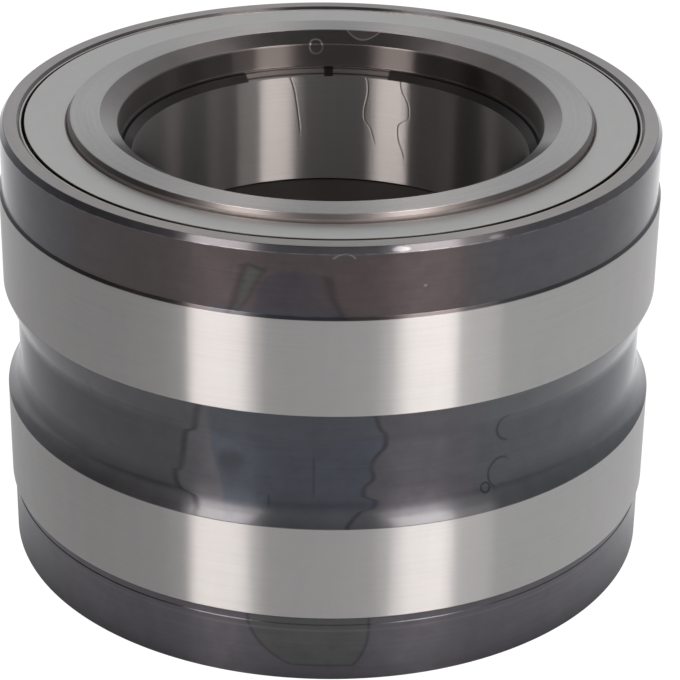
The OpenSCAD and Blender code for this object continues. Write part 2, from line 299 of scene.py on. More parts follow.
class Finish(Recipe):
    """A material with the piece's own cylinder coordinates in millimetres and degrees."""

    def __init__(self, name):
        self.material = bpy.data.materials.new(name)
        self.material.use_nodes = True
        super().__init__(self.material.node_tree)
        place = self.node("ShaderNodeTexCoord", out="Object")
        self.x, self.y, self.z = (
            self.node("ShaderNodeSeparateXYZ", out=i, Vector=place) / MM for i in range(3)
        )
        self.r = (self.x * self.x + self.y * self.y) ** 0.5
        self.turn = self.x.math("ARCTAN2", self.x, self.y * -1) * math.degrees(1)
        self.rear = self.x.math("ARCTAN2", self.x * -1, self.y) * math.degrees(1)
        self.middle = abs(self.z - HEIGHT / 2)

    def vector(self, x, y, z):
        """A vector from three wires or numbers."""
        return self.node("ShaderNodeCombineXYZ", X=x, Y=y, Z=z)

    def stretched(self, around, across):
        """Coordinates for marks that run round the axis: so many per millimetre around and across.

        Across is both along the axis and along the radius, so the marks suit cylinders and faces.
        """
        return self.vector(self.x * around, self.y * around, (self.z + self.r) * across)

    def noise(self, vector, scale=1.0, detail=2.0, roughness=0.5):
        """Noise around 0.5 at the vector."""
        return self.node(
            "ShaderNodeTexNoise", Vector=vector, Scale=scale, Detail=detail, Roughness=roughness
        )

    def marks(self, around, across, detail=3.0, roughness=0.5):
        """Fine lines round the axis, from about -0.5 to 0.5."""
        return self.noise(self.stretched(around, across), 1.0, detail, roughness) - 0.5

    def cloud(self, per_mm, detail=2.0, seed=0.0, roughness=0.5):
        """Noise from about -1 to 1 that is as coarse in every direction."""
        vector = self.vector(self.x * per_mm + seed, self.y * per_mm, self.z * per_mm)
        return (self.noise(vector, detail=detail, roughness=roughness) - 0.5) * 3.0

    def follow(self, along, points):
        """The value that the points (along, value) give, drawn through them as a smooth curve."""
        (low, high), (least, most) = ((min(v), max(v)) for v in zip(*points))
        unit = [((a - low) / (high - low), (v - least) / (most - least)) for a, v in sorted(points)]
        share = (along - low) / (high - low)
        return self.node("ShaderNodeFloatCurve", points=unit, Value=share) * (most - least) + least

    def loop(self, turn, z, wide, tall):
        """The distance in millimetres, about, from an oval's outline on the ring's outside."""
        along = (self.turn - turn) * (math.radians(1) * WAIST_R / wide)
        above = (self.z - z) / tall
        return ((along * along + above * above) ** 0.5 - 1) * tall

    def bump(self, height, distance):
        """A normal from a height wire, where 1 is this distance in millimetres."""
        return self.node("ShaderNodeBump", Height=height, Distance=distance * MM)

    def steel(self, **sockets):
        """A metal surface. Its sockets take numbers, colours or wires."""
        return self.node("ShaderNodeBsdfPrincipled", Metallic=1.0, **sockets)

    def plain(self, **sockets):
        """A surface that isn't metal."""
        return self.node("ShaderNodeBsdfPrincipled", **sockets)

    def over(self, mask, below, above):
        """The surface above shows where the mask is 1."""
        return self.node("ShaderNodeMixShader", places=[(0, mask), (1, below), (2, above)])

    def done(self, surface):
        """Links the surface to the output and gives the material."""
        self.node("ShaderNodeOutputMaterial", Surface=surface)
        self.report(self.material.name)
        return self.material


print("drawing starts from land radius %.1f mm and height %.1f mm" % (LAND_R, HEIGHT))

# %% [markdown]
# The rings are turned parts, so each is one section swept round the axis. A lathe never leaves a
# knife edge: every corner gets a small break, and the broken edge is what catches the light. A
# section is a list of corners, each with its radius, and the arcs come from one formula.

# %% Rounding a section's corners
ARC_STEPS = 6
ROOM_SHARE = 0.95


def soften(section):
    """The section with rounded corners, and its outward normals.

    A corner of radius q between two sides with outward normals a and b has its centre at
    corner - s q (a + b) / (1 + a.b), where s is 1 for a convex and -1 for a hollow corner. Its
    arc is centre + s q n, where n turns evenly from a to b.
    """
    corners, radii = section[:, :2], section[:, 2]
    side = np.roll(corners, -1, 0) - corners
    length = np.hypot(*side.T)
    after = np.column_stack([side[:, 1], -side[:, 0]]) / length[:, None]
    before = np.roll(after, 1, 0)
    dot = (after * before).sum(1)
    turn = np.arccos(np.clip(dot, -1, 1))
    convex = np.sign(before[:, 0] * after[:, 1] - before[:, 1] * after[:, 0])
    room = ROOM_SHARE * np.minimum(length, np.roll(length, 1))
    reach = np.minimum(radii * np.tan(turn / 2), room)
    signed = (convex * reach / np.tan(turn / 2))[:, None]
    centre = corners - signed * (before + after) / (1 + dot)[:, None]
    t = np.linspace(0, 1, ARC_STEPS)[:, None, None]
    sweep = turn[None, :, None]
    normal = (np.sin((1 - t) * sweep) * before + np.sin(t * sweep) * after) / np.sin(sweep)
    points = centre + signed * normal
    return points.swapaxes(0, 1).reshape(-1, 2), normal.swapaxes(0, 1).reshape(-1, 2)


print("a rounded corner has", ARC_STEPS, "points")

# %% [markdown]
# A Screw modifier could sweep the section too, but it would guess the normals from the faces. Here
# the sweep is worked out in numpy with the section's own normals, so mirror images run straight down
# the metal. Each turned piece stands in for the plain solid of the same ring and rides its body.

# %% Turning a section on the lathe
AROUND = 480


def turned(name, section, body, stands_for, mirror=None):
    """A closed ring from a section in millimetres that runs anticlockwise in (r, z).

    Vertex (i, j) is section point j turned by i / AROUND of a full turn. With a mirror height
    the section is drawn for the upper side and turned over.
    """
    points, normal = soften(section)
    if mirror is not None:
        points, normal = points * (1, -1) + (0, mirror), normal * (1, -1)
        points, normal = points[::-1], normal[::-1]
    turn = np.arange(AROUND) * 2 * math.pi / AROUND
    cos, sin = np.cos(turn)[:, None], np.sin(turn)[:, None]

    def sweep(pairs):
        """The pairs (outwards, upwards) turned to every step, as one list of vectors."""
        upwards = np.broadcast_to(pairs[:, 1], (AROUND, len(pairs)))
        return np.stack([pairs[:, 0] * cos, pairs[:, 0] * sin, upwards], -1).reshape(-1, 3)

    count = len(points)
    i, j = np.meshgrid(np.arange(AROUND), np.arange(count), indexing="ij")
    i2, j2 = (i + 1) % AROUND, (j + 1) % count
    ends = [i * count + j, i2 * count + j, i2 * count + j2, i * count + j2]
    quads = np.stack(ends, -1).reshape(-1, 4)
    mesh = bpy.data.meshes.new(name)
    mesh.from_pydata(sweep(points) * MM, [], quads)
    mesh.polygons.foreach_set("use_smooth", np.ones(len(quads), bool))
    mesh.normals_split_custom_set_from_vertices(sweep(normal))
    piece = bpy.data.objects.new(name, mesh)
    bpy.context.scene.collection.objects.link(piece)
    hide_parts(stands_for)
    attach(piece, body)
    print(name, "%d quads" % len(quads))


print("a sweep has", AROUND, "steps")

# %% [markdown]
# The outer ring's section starts at the foot and goes up the outside: a turned band, a ground land,
# the waist with its cove below and its flank above, the second land, the upper band and the end
# face. The way back down the inside passes the seal seats and both raceways.

# %% The outer ring
BREAK = 0.12
BAND_R = LAND_R - 0.55
LINE_R = BAND_R - 0.15
FOOT_ROUND = 0.5
COVE_ROUND = 10.3
FLANK_ROUND = 7.0
CHAMFER_IN, CHAMFER_DOWN = 0.8, 1.2
LOW_LAND = (14.2, 33.2)
HIGH_LAND = (56.7, 75.7)
COVE_START = LOW_LAND[1] + 0.15
RING_TOP = HEIGHT - 0.5
SEAT_R, MOUTH_R = 60.62, 61.07
CUP_LARGE_R, CUP_SMALL_R, WEB_R = 60.42, 54.19, 53.79
outside = [
    (BAND_R, 0, FOOT_ROUND),
    (BAND_R, 12.15, BREAK),
    (LINE_R, 12.3, BREAK),
    (LINE_R, 13.6, BREAK),
    (LAND_R, LOW_LAND[0], BREAK),
    (LAND_R, COVE_START, BREAK / 2),
    (WAIST_R, 36.4, COVE_ROUND),
    (WAIST_R, 50.2, FLANK_ROUND),
    (LAND_R, HIGH_LAND[0], BREAK * 2),
    (LAND_R, HIGH_LAND[1], BREAK),
    (BAND_R, 76.3, BREAK),
    (BAND_R, RING_TOP - CHAMFER_DOWN, BREAK),
    (BAND_R - CHAMFER_IN, RING_TOP, BREAK * 2),
]
inside = [
    (MOUTH_R, RING_TOP, BREAK),
    (SEAT_R, 89.05, BREAK),
    (SEAT_R, 78.2, BREAK),
    (CUP_LARGE_R, 77.8, BREAK),
    (CUP_LARGE_R, 74.05, BREAK),
    (CUP_SMALL_R, 51.9, BREAK),
    (WEB_R, 51.5, BREAK),
    (WEB_R, 38.5, BREAK),
    (CUP_SMALL_R, 38.1, BREAK),
    (CUP_LARGE_R, 15.95, BREAK),
    (CUP_LARGE_R, 12.2, BREAK),
    (SEAT_R, 11.8, BREAK),
    (SEAT_R, 0.45, BREAK),
    (MOUTH_R, 0, BREAK),
]
ring_section = np.array(outside + inside)
turned("turned_outer_ring", ring_section, "outer_set", "outer_ring")

# %% [markdown]
# An inner ring is read from its bore outwards: the ground seat, the lead-in cone, the counterbore's
# ledge and wall, the bevelled mouth and the end face, then down the large rib and along the raceway.
# The lower ring is the same section turned over.

# %% The inner rings
BORE_R, RELIEF_R, COUNTERBORE_R = 39.0, 39.7, 41.5
CLIP_R, CLIP_GROOVE_R = 39.95, 40.35
NOSE_R, SMALL_RIB_R = 42.05, 43.25
RIB_R = 51.31
LEDGE_Z = 83.0
inner_section = np.array([
    (CLIP_R, 45.0, BREAK),
    (41.65, 45.0, BREAK),
    (NOSE_R, 45.4, BREAK),
    (NOSE_R, 53.1, BREAK),
    (SMALL_RIB_R, 53.9, BREAK),
    (SMALL_RIB_R, 55.3, BREAK),
    (42.45, 55.7, BREAK),
    (46.85, 75.89, BREAK),
    (46.35, 76.01, BREAK),
    (46.51, 76.64, BREAK),
    (RIB_R, 75.45, BREAK),
    (RIB_R, 89.15, BREAK * 3),
    (50.71, HEIGHT, BREAK * 2),
    (45.2, HEIGHT, BREAK),
    (COUNTERBORE_R, 88.0, BREAK * 5),
    (COUNTERBORE_R, 83.4, BREAK),
    (41.1, LEDGE_Z, BREAK),
    (40.4, LEDGE_Z, BREAK),
    (BORE_R, 81.8, BREAK),
    (BORE_R, 58.6, BREAK),
    (RELIEF_R, 57.9, BREAK),
    (RELIEF_R, 50.4, BREAK),
    (CLIP_R, 50.15, BREAK),
    (CLIP_R, 49.45, BREAK),
    (CLIP_GROOVE_R, 49.05, BREAK),
    (CLIP_GROOVE_R, 47.35, BREAK),
    (CLIP_R, 46.95, BREAK),
])
for row, mirror in (("upper", None), ("lower", HEIGHT)):
    turned(
        "turned_inner_ring_" + row, inner_section,
        "inner_set", "inner_ring_" + row, mirror,
    )

# %% [markdown]
# The flinger is pressed from sheet: a sleeve on the rib and a flange that dishes outwards until it
# almost touches the seal's case, whose rim shows as a thin bright line around it. Both are turned
# from their sections as the rings are, with finer breaks, because sheet edges are sheared.

# %% The flingers and seal cases
SHEET_BREAK = 0.08
BEND = SHEET_BREAK * 5
SLEEVE_R, FLINGER_EDGE_R = 51.91, 59.62
CASE_R, CASE_IN_R, CASE_FLANGE_R = 60.62, 60.17, 54.31
CASE_TOP = 89.05
flinger_section = np.array([
    (RIB_R, 81.1, SHEET_BREAK),
    (SLEEVE_R, 81.1, SHEET_BREAK),
    (SLEEVE_R, 87.9, SHEET_BREAK),
    (FLINGER_EDGE_R, 88.55, SHEET_BREAK),
    (FLINGER_EDGE_R, 89.05, SHEET_BREAK),
    (59.52, 89.15, SHEET_BREAK),
    (51.81, 88.5, BEND),
    (RIB_R, 88.0, BEND),
])
case_section = np.array([
    (CASE_FLANGE_R, 79.65, SHEET_BREAK),
    (60.12, 79.65, BEND),
    (CASE_R, 80.15, BEND),
    (CASE_R, 88.95, SHEET_BREAK),
    (60.52, CASE_TOP, SHEET_BREAK),
    (60.27, CASE_TOP, SHEET_BREAK),
    (CASE_IN_R, 88.95, SHEET_BREAK),
    (CASE_IN_R, 80.1, SHEET_BREAK),
    (CASE_FLANGE_R, 80.1, SHEET_BREAK),
])
for row, mirror in (("upper", None), ("lower", HEIGHT)):
    turned(
        "pressed_flinger_" + row, flinger_section,
        "inner_set", "flinger_" + row, mirror,
    )
    turned(
        "pressed_case_" + row, case_section,
        "outer_set", "seal_case_" + row, mirror,
    )

# %% [markdown]
# Grinding leaves fine lines round the axis. Light spreads across such lines and hardly along them,
# so a hung lamp becomes a strip that runs down the whole land. That is what the anisotropic value is
# for: the tangent of a plain material already runs round the Z axis, and a quarter turn lays the
# spread across the lines. Two lobes are mixed: the broad one carries the colour's variation.

# %% Ground steel, and how a piece gets its finish
QUARTER_TURN = 0.25
KEEN_SHARE = 0.6


def ground_steel(finish, colour, worn_colour, marks, keen_share=KEEN_SHARE):
    """A ground surface: a broad lobe with the colour's variation under a keen, even one."""
    broad = finish.steel(
        Base_Color=worn_colour,
        Roughness=0.42,
        Anisotropic=1.0,
        Anisotropic_Rotation=QUARTER_TURN,
        Normal=finish.bump(marks, 0.005),
    )
    keen = finish.node(
        "ShaderNodeBsdfAnisotropic", {"distribution": "GGX"},
        Color=colour, Roughness=0.31, Anisotropy=0.87, Normal=finish.bump(marks, 0.003),
    )
    return finish.over(keen_share, broad, keen)


def wear(names, material):
    """Gives each named object the material in its only slot."""
    for name in names:
        data = (bpy.data.objects.get(name) or nodes[name]).data
        data.materials.clear()
        data.materials.append(material)


print("ground steel: %.0f%% keen lobe" % (KEEN_SHARE * 100))

# %% [markdown]
# The two lands are the outer ring's press seats, ground last and left bare. They are the brightest
# metal on the unit. The grinding lines change their grey from line to line, soft clouds and faint
# upright streaks come from handling, and the right side leans a little to green in the photo.

# %% The lands
LAND_STEEL = (0.56, 0.549, 0.542)
WARM_LAND, COOL_LAND, GREEN_LAND = (1.0, 0.977, 0.967), (0.995, 0.992, 0.975), (0.98, 0.997, 0.975)
LAND_EDGE = 0.15

ring = Finish("outer_ring_steel")
turn, z = ring.turn, ring.z
on_lands = ring.band(z, LOW_LAND[0] - 0.25, LOW_LAND[1], LAND_EDGE)
on_lands = on_lands | ring.band(z, HIGH_LAND[0] + 0.05, HIGH_LAND[1] + 0.05, LAND_EDGE)
on_lands = on_lands * ring.ramp(ring.r, 64.6, 64.7)
land_lines = ring.marks(0.03, 3.0, 4.0, 0.7)
streaks = ring.noise(ring.vector(ring.x * 0.35, ring.y * 0.35, z * 0.04), detail=3.0) - 0.5
land_shade = land_lines * 0.3 + ring.cloud(0.2, 4.0, roughness=0.7) * 0.04 + streaks * 0.1 + 0.56
land_tint = ring.mix(ring.ramp(ring.cloud(0.09, 3.0, 71.0), -0.5, 0.5), WARM_LAND, COOL_LAND)
land_tint = ring.mix(ring.band(turn, 23, 52, 12), land_tint, GREEN_LAND)
land_keen = land_lines * 0.45 + ring.cloud(0.35, 4.0, 51.0, 0.7) * 0.07 + 0.68
land_colour = ring.mix(1.0, ring.shade(land_shade), land_tint, "MULTIPLY")
land = ground_steel(ring, LAND_STEEL, land_colour, land_lines + streaks * 4.0, land_keen)
ring.report("lands")

# %% [markdown]
# The bands and the waist were never ground. They keep the dark skin of the heat treatment, under a
# film of preserving oil. The colours below are that skin's own: grey, brown and blue where the heat
# tint changes, and nearly black where old oil has dried. One slow drift is shared by all edges, so
# that stains wander together instead of each on its own.

# %% The dark skin's colours and places
GREY_OXIDE = (0.072, 0.07, 0.078)
BROWN_OXIDE = (0.082, 0.066, 0.067)
RED_OXIDE = (0.1, 0.07, 0.07)
PINK_OXIDE = (0.094, 0.075, 0.077)
BLUE_OXIDE = (0.062, 0.07, 0.087)
VIOLET_OXIDE = (0.055, 0.05, 0.065)
GREEN_OXIDE = (0.07, 0.076, 0.07)
STEEL_OXIDE = (0.09, 0.089, 0.098)
DARK_OIL = (0.022, 0.02, 0.024)
drift = ring.cloud(0.25, 3.0, 11.0)
ragged = drift * 0.35
in_top = ring.ramp(z, 75.5, 76.0)
in_foot = ring.fall(z, 13.9, 14.1)
in_waist = (1 - in_top) * (1 - in_foot)
ring.report("band masks")

# %% [markdown]
# The upper band has brown heat tint from the left to just past the middle. In front hang a violet
# drop and, beside it, an olive crescent, both with a dark rim where the oil dried. Their sides are
# curves of turn against height, so a stain is drawn like a shape on an unrolled label.

# %% The upper band's tint
skin_colour = ring.mix(ring.band(turn + ragged * 4, -46, 23, 14), GREY_OXIDE, BROWN_OXIDE)
skin_colour = ring.mix(ring.band(turn + ragged, 10, 21.5, 2) * 0.7, skin_colour, PINK_OXIDE)
skin_colour = ring.mix(ring.ramp(turn, 50, 64) * 0.35, skin_colour, STEEL_OXIDE)
drop_left = ring.follow(z, [(75.7, -11.6), (79, -11.3), (82, -10.6), (84.2, -8.5), (85, -7)])
drop_right = ring.follow(z, [(75.7, 3.1), (77.1, 2.3), (80.3, 0.9), (83.9, 0.0), (85, -1.5)])
in_drop = ring.ramp(turn - drop_left + ragged, -0.5, 0.7) * ring.fall(turn - drop_right, -0.3, 0.3)
in_drop = in_drop * ring.fall(z + ragged, 84.0, 85.2)
skin_colour = ring.mix(in_drop * 0.7, skin_colour, VIOLET_OXIDE)
rim_left = ring.follow(z, [(76, -15.6), (79, -14.4), (82, -13.8), (85, -12.9)])
rim_right = ring.follow(z, [(76, -14.6), (79, -12.5), (82, -11.2), (85, -9.8)])
below = ring.fall(z, 85.2, 85.8)
crescent = ring.ramp(turn - rim_left, 0, 0.4) * ring.fall(turn - rim_right, -0.4, 0) * below
skin_colour = ring.mix(crescent * 0.8, skin_colour, GREEN_OXIDE)
ring.report("upper band")

# %% [markdown]
# Over the tint lie a reddish patch right of the middle, a bluish fringe just above the land, and
# the rims of the drop and the crescent. The rims come last, because dried oil covers what is
# under it.

# %% The upper band's rims
rims = (ring.line(turn - rim_left + ragged, 1.2) | ring.line(turn - rim_right, 0.9) * 0.5) * below
rims = rims | ring.line(turn - drop_right + ragged, 1.3) * 0.8 * ring.fall(z, 83.5, 84.6)
rims = rims | ring.line(z - 85.6 + abs(turn + 12.3) * 0.35, 0.7) * ring.band(turn, -14, -9.5, 1)
red_patch = ring.band(turn + ragged, -2, 12, 6) * ring.band(z, 77.5, 87, 4)
skin_colour = ring.mix(red_patch * 0.45, skin_colour, RED_OXIDE)
fringe = ring.band(turn, -19, 1, 3) * ring.ramp(z, 76.3, 78.2, 0.6, 0.0)
skin_colour = ring.mix(fringe, skin_colour, BLUE_OXIDE)
skin_colour = ring.mix(rims * 0.42, skin_colour, DARK_OIL)
ring.report("upper band's rims")

# %% [markdown]
# In the waist a bluish pool of oil has dried between two shorelines, with a paler shore beside it.
# A Voronoi pattern would give blots of any shape, but these two lines are what the eye knows the
# photo by, so they are drawn as curves. The cove below is painted paler, as painted light where it
# tilts up, and the flank's sides get painted shade.

# %% The waist's pool
SHORE_OXIDE = (0.08, 0.076, 0.086)
FAR_OXIDE = (0.072, 0.078, 0.087)
COVE_PAINTED_LIGHT, COVE_PAINTED_LIGHT_LEFT = (0.13, 0.132, 0.142), (0.2, 0.19, 0.2)
FLANK_PAINTED_SHADE = (0.04, 0.042, 0.046)
shore_left = ring.follow(z, [
    (34.5, -21.6), (36.3, -22.4), (37.2, -25.3), (39.9, -26.3), (41.2, -25.2), (44.7, -24.7),
    (48.9, -24.2), (50, -22.6), (52.7, -21.9), (56.5, -20.7),
]) + ragged * 0.4
pool_left = ring.follow(z, [
    (34.5, -16.8), (37.6, -17.5), (41.2, -18.2), (44.7, -19.1), (49.2, -19.7), (56.5, -19.1),
])
shore_right = ring.follow(z, [
    (33.7, 3.7), (35.9, 5.9), (37.4, 8.6), (39, 6.5), (40.3, 6.6), (42.5, 8.1), (44.7, 7.8),
    (47.2, 8.7), (49.2, 10), (51.4, 10), (53.1, 9), (56.5, 8),
]) + ragged * 0.4
waist = ring.mix(ring.ramp(turn - shore_left, -0.5, 0.9) * 0.8, GREY_OXIDE, STEEL_OXIDE)
waist = ring.mix(ring.ramp(turn - pool_left, -0.5, 0.7), waist, BLUE_OXIDE)
waist = ring.mix(ring.ramp(turn - shore_right, -0.2, 0.3), waist, SHORE_OXIDE)
waist = ring.mix(ring.ramp(turn + ragged * 2, 24, 29), waist, FAR_OXIDE)
# Painted light: the cove is painted paler where it tilts up, and more so on the left.
painted_cove_light = ring.ramp(z, 35.3, 37.2, 0.75, 0.0)
waist = ring.mix(painted_cove_light, waist, COVE_PAINTED_LIGHT)
waist = ring.mix(painted_cove_light * ring.fall(turn, -27, -23), waist, COVE_PAINTED_LIGHT_LEFT)
# Painted shade: the flank's sides, which face down, are painted darker.
painted_flank_shade = ring.band(z, 50.6, 56.6, 1) * ring.ramp(abs(turn), 15, 40)
waist = ring.mix(painted_flank_shade * 0.5, waist, FLANK_PAINTED_SHADE)
ring.report("waist")

# %% [markdown]
# The tide marks are the dark lines along both shores. To their right a hook, a pear and a bead are
# left from single drops, and a few short runs go straight down. Each is the outline of an oval or
# a thin line, cut off where the real mark ends.

# %% The waist's tide marks
tide = ring.line(turn - shore_left, 1.1) | ring.line(turn - shore_right, 0.85)
tide = tide * (drift * 0.4 + 0.6)
hook = ring.line(ring.loop(32.8, 48.6, 2.8, 2.7), 0.5) * ring.fall(turn, 31.8, 33.2)
pear = ring.line(ring.loop(31.3, 39.4, 2.7, 3.1), 0.45) * ring.fall(turn - z * 0.5, 10.2, 12.5)
bead = ring.line(ring.loop(28.1, 37.2, 0.9, 0.9), 0.35)
blot = ring.fall(ring.loop(-16, 44.3, 2.2, 2.6), -1.5, 1.5)
runs = ring.line(turn + 1.9, 0.35) * ring.band(z, 39, 47, 2)
runs = runs | ring.line(turn + 9.4, 0.4) * ring.band(z, 36.5, 38.7, 1)
runs = runs | ring.line(turn + 44.4, 0.6) * ring.band(z, 50, 53, 2)
soiled = tide * 0.85 | hook * 0.6 | pear * 0.7 | bead * 0.8 | blot * 0.35 | runs * 0.4
waist = ring.mix(soiled, waist, DARK_OIL)
ring.report("tide marks")

# %% [markdown]
# The foot is the lower band. A pale line runs round it, painted as the highlight of a small turned
# step, the tool has left fine steps above that line, and in front a greenish tongue of oil has
# crept up from the edge it stands on.

# %% The foot
FOOT_OXIDE = (0.09, 0.085, 0.097)
TOOL_MARKS_AND_STEP_HIGHLIGHT = (0.12, 0.114, 0.124)
tongue_left = ring.follow(z, [
    (3.0, -4.5), (3.5, -5.8), (5.5, -8.6), (7.9, -10.8), (11.4, -12.5), (13, -12.8),
])
tongue_right = ring.follow(z, [(3.0, 4.6), (3.8, 5.4), (8.5, 7.3), (12.6, 7.6)])
in_tongue = ring.ramp(turn - tongue_left, -0.2, 0.2) * ring.fall(turn - tongue_right, -0.2, 0.2)
in_tongue = in_tongue * ring.ramp(z, 3.1, 3.5)
foot = ring.mix(in_tongue * 0.6, FOOT_OXIDE, GREEN_OXIDE)
tongue_edge = ring.line(turn - tongue_left, 0.6) | ring.line(turn - tongue_right, 0.5)
tongue_edge = tongue_edge * ring.ramp(z, 3.0, 3.4)
tongue_edge = tongue_edge | ring.line(z - 3.3, 0.35) * ring.band(turn, -5, 5, 1)
foot = ring.mix(tongue_edge * 0.4, foot, DARK_OIL)
turning = ring.noise(ring.vector(0.0, 0.0, z * 1.6), detail=3.0) - 0.5
tool_steps = ring.band(z, 6.8, 10.3, 1.0) * ring.ramp(turning, 0.02, 0.15) * 0.35
# The line at 11 mm is a painted highlight of a turned step; the tool steps are real marks.
foot = ring.mix(ring.line(z - 11.0, 0.5) * 0.6 | tool_steps, foot, TOOL_MARKS_AND_STEP_HIGHLIGHT)
ring.report("foot")

# %% [markdown]
# Edges wear first. The top chamfer is painted paler all round, a painted highlight where it tilts
# up, and thin bright lines show where the skin is rubbed through, painted bright enough to stand for
# the edges' glints and broken up by noise. A few nicks from handling sit on the chamfer and just
# below it, painted bright as glints. The turning marks and specks then modulate the whole skin at
# once.

# %% Worn edges, nicks and painted glints
PAINTED_CHAMFER_LIGHT = (0.115, 0.11, 0.12)
RUBBED_STEEL_AND_GLINT = (0.4, 0.39, 0.4)
NICK_GLINT_STEEL = (0.5, 0.5, 0.52)
# Painted highlight: the top chamfer is painted paler all round.
skin_colour = ring.mix(ring.ramp(z, 88.1, 88.4), skin_colour, PAINTED_CHAMFER_LIGHT)
skin_colour = ring.mix(in_waist, ring.mix(in_foot, skin_colour, foot), waist)
band_lines = ring.marks(0.05, 1.8, 4.0, 0.6)
speckle = ring.ramp(ring.cloud(1.1, 2.0, 31.0), 0.95, 1.15)
speckle = speckle * ring.ramp(ring.cloud(0.12, 1.0, 17.0), 0.3, 0.8)
band_shade = drift * 0.12 + band_lines * 0.25 + ring.cloud(0.8, 3.0, 23.0) * 0.04
skin_colour = ring.mix(1.0, skin_colour, ring.shade(band_shade + speckle * 0.5 + 0.93), "MULTIPLY")
# Real rubbed edges, painted bright enough to stand for the edges' glints.
worn_edges_and_glints = ring.line(z - 88.32, 0.16) | ring.line(z - 76.25, 0.12) * 0.4
worn_edges_and_glints = worn_edges_and_glints | ring.line(z - 0.35, 0.2) * 0.5
worn_edges_and_glints = worn_edges_and_glints * ring.ramp(ring.cloud(0.4, 3.0, 61.0), -0.6, 0.5)
skin_colour = ring.mix(worn_edges_and_glints * 0.35, skin_colour, RUBBED_STEEL_AND_GLINT)
# Nicks from handling, painted bright as glints.
nicks_and_glints = ring.fall(ring.loop(11.6, 88.85, 1.5, 0.4) + ragged * 0.6, -0.15, 0.1)
bracket = ring.line(ring.loop(2.6, 87.5, 1.8, 0.9) + ragged, 0.22) * ring.ramp(z, 87.3, 87.7)
nicks_and_glints = nicks_and_glints | bracket * 0.5
nicks_and_glints = nicks_and_glints | ring.fall(ring.loop(15.5, 81.6, 0.35, 0.3), -0.2, 0.1) * 0.4
nicks_and_glints = nicks_and_glints | ring.fall(ring.loop(27.5, 88.8, 1.2, 0.25) + ragged * 0.5, -0.15, 0.1) * 0.6
skin_colour = ring.mix(nicks_and_glints * 0.5, skin_colour, NICK_GLINT_STEEL)
ring.report("wear")

# %% [markdown]
# The skin mirrors like oiled steel: a dark metal with spread highlights, under a thin coat. Real
# oil has a higher index than this coat, but with it the far sides would go pale, and the dimmed
# edge tint is there for the same reason. Where stains have dried, the coat is thinner and the
# surface a hair higher.

# %% The dark bands' metal
COAT_INDEX = 1.37
EDGE_TINT = (0.6, 0.6, 0.62)
wet = soiled * in_waist | rims * in_top | tongue_edge * in_foot
dark_band = ring.steel(
    Base_Color=skin_colour,
    Roughness=drift * 0.02 + 0.32,
    Anisotropic=1.0,
    Anisotropic_Rotation=QUARTER_TURN,
    Specular_Tint=EDGE_TINT,
    Coat_Weight=0.74 - wet * 0.3 + drift * 0.06,
    Coat_Roughness=0.11,
    Coat_IOR=COAT_INDEX,
    Normal=ring.bump(band_lines + wet * 0.6, 0.006),
)
ring.report("dark bands")

# %% [markdown]
# The ring's end faces are narrow turned rims, oiled and a little warm. With them the outer ring is
# complete: the dark metal first, the lands over it, and the end faces on top, each by its mask.

# %% The outer ring's end faces
WARM_STEEL = (1.0, 0.965, 0.94)
face_marks = ring.marks(0.04, 2.5)
end_shade = face_marks * 0.06 + ring.cloud(0.3, 4.0, 7.0, 0.65) * 0.022 + 0.36
end_face = ring.steel(
    Base_Color=ring.shade(end_shade, WARM_STEEL),
    Roughness=0.36,
    Anisotropic=0.8,
    Anisotropic_Rotation=QUARTER_TURN,
    Normal=ring.bump(face_marks, 0.004),
)
near_end = ring.ramp(z, 89.3, 89.4) | ring.fall(z, 0.1, 0.2)
on_end = ring.band(ring.r, 61.05, 63.62, 0.1) * near_end
ring_steel = ring.over(on_end, ring.over(on_lands, dark_band, land), end_face)
wear(["turned_outer_ring"], ring.done(ring_steel))

# %% [markdown]
# An inner ring shows four surfaces: the ground end face, the bevel and wall of the counterbore, the
# ledge with its lead-in cone, and the ground bore. One material serves both rings, so its masks use
# the distance from the unit's middle. The end face is ground flat, with rings of fine lines.

# %% The inner rings' end faces
FACE_TINT = (1.0, 0.985, 0.975)
inner = Finish("inner_ring_steel")
middle, r, rear, z = inner.middle, inner.r, inner.rear, inner.z
on_face = inner.ramp(middle, 44.86, 44.92)
face_lines = inner.marks(0.05, 3.0, 4.0, 0.65)
face_shade = face_lines * 0.16 + inner.cloud(0.9, 5.0, 3.0, 0.75) * 0.035 + 0.43
face = inner.steel(
    Base_Color=inner.shade(face_shade, FACE_TINT),
    Roughness=0.38,
    Anisotropic=0.9,
    Anisotropic_Rotation=QUARTER_TURN,
    Normal=inner.bump(face_lines, 0.005),
)
inner.report("end faces")

# %% [markdown]
# The bore slides onto the axle, so it is ground as finely as the lands. Three thin runs of oil hang
# from its upper edge at the back, where the photo looks into it. They darken the metal, raise it a
# little and dull the keen lobe.

# %% The bore
BORE_STEEL = (0.46, 0.44, 0.43)
in_bore = inner.band(r, 38.5, 39.25, 0.1) * inner.band(middle, 13.6, 36.75, 0.1)
bore_lines = inner.marks(0.04, 2.5, 4.0, 0.7)
tears = inner.noise(inner.vector(inner.x * 0.5, inner.y * 0.5, z * 0.04), detail=2.0) - 0.5
run_a = inner.follow(z, [(68, 9.8), (70, 10.0), (76.6, 11.2), (79.5, 12.0), (81.8, 13.2)])
run_b = inner.follow(z, [
    (66, -13.9), (67.5, -13.4), (70.6, -12.0), (73.2, -10.0), (79.5, -11.1), (81.8, -10.5),
])
run_c = inner.follow(z, [
    (64, -23.4), (65, -23.2), (71.4, -21.0), (74.5, -24.6), (80, -22.0), (81.8, -21.5),
])
oil_runs = inner.line(rear - run_a, 0.45) * inner.ramp(z, 68.5, 70)
oil_runs = oil_runs | inner.line(rear - run_b, 0.4) * inner.ramp(z, 66.5, 67.5) * 0.8
